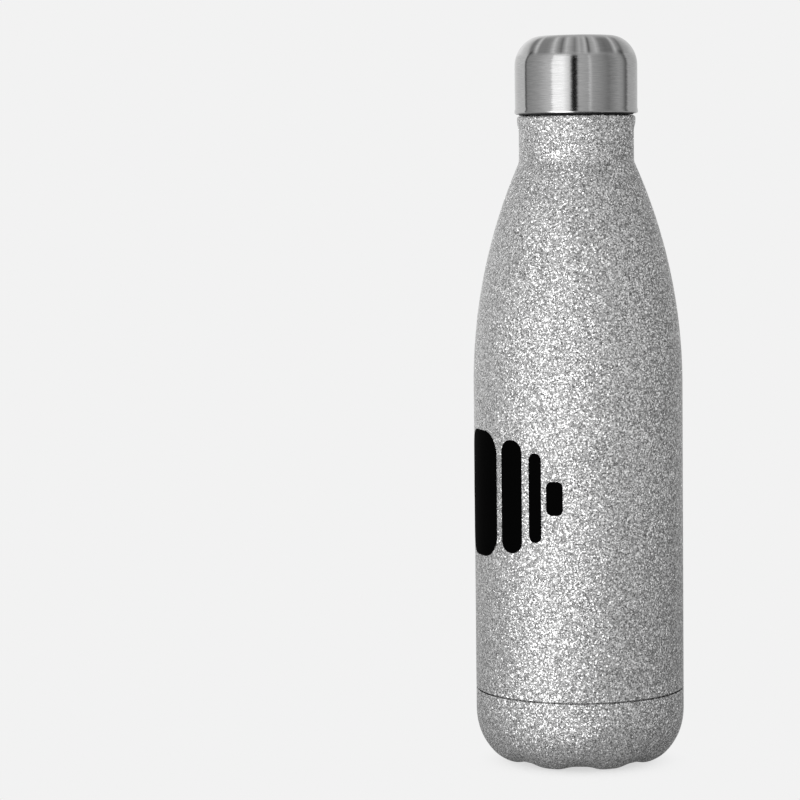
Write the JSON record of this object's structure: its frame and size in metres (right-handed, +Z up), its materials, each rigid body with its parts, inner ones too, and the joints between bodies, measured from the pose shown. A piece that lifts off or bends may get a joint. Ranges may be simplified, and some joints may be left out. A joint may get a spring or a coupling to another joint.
{
  "type": "vacuum insulated drinking bottle",
  "caption": "Double-walled steel bottle with a long tapered shoulder, petal base, glitter coat and a round-topped brushed steel screw lid.",
  "frame": {"origin": "centre of the base, at the height of the petal feet it stands on", "axes": "+Z up the bottle's axis to the lid, -Y towards the front, where a valley between two feet lies"},
  "size_m": [0.073, 0.073, 0.2532],
  "materials": {
    "glitter_coat": "silver glitter powder coat",
    "brushed_steel_cap": "brushed around the axis",
    "bare_steel": "electropolished",
    "black_silicone": "satin",
    "black_plastic": "moulded",
    "grey_plastic": "moulded",
    "foam": "closed-cell foam",
    "copper": "bright foil",
    "getter": "sintered",
    "solder_glass": "fused",
    "black_print": "screen print"
  },
  "bodies": {
    "bottle": {"outer_shell": "glitter_coat", "base_cup": "glitter_coat", "base_disc": "bare_steel", "vacuum_seal_bead": "solder_glass", "inner_flask": "bare_steel", "inner_base": "bare_steel", "copper_foil": "copper", "getter_pill": "getter", "getter_clip": "bare_steel"},
    "gasket": {"mouth_gasket": "black_silicone"},
    "lid": {"lid_cover": "brushed_steel_cap", "lid_liner": "grey_plastic", "stopper": "black_plastic", "stopper_end_cap": "black_plastic", "foam_insert": "foam", "plug_seal": "black_silicone"}
  },
  "joints": [
    {"name": "lid_lift", "type": "slide", "parent": "bottle", "child": "gasket", "axis": [0, 0, 1], "range_m": [0, 0.0322]},
    {"name": "lid_turn", "type": "hinge", "parent": "gasket", "child": "lid", "pos_m": [0, 0, 0.2254], "axis": [0, 0, 1], "range_deg": [0, 1440]}
  ],
  "couplings": [
    {"joint": "lid_lift", "follows": "lid_turn", "m_per_rad": 0.0012732}
  ]
}
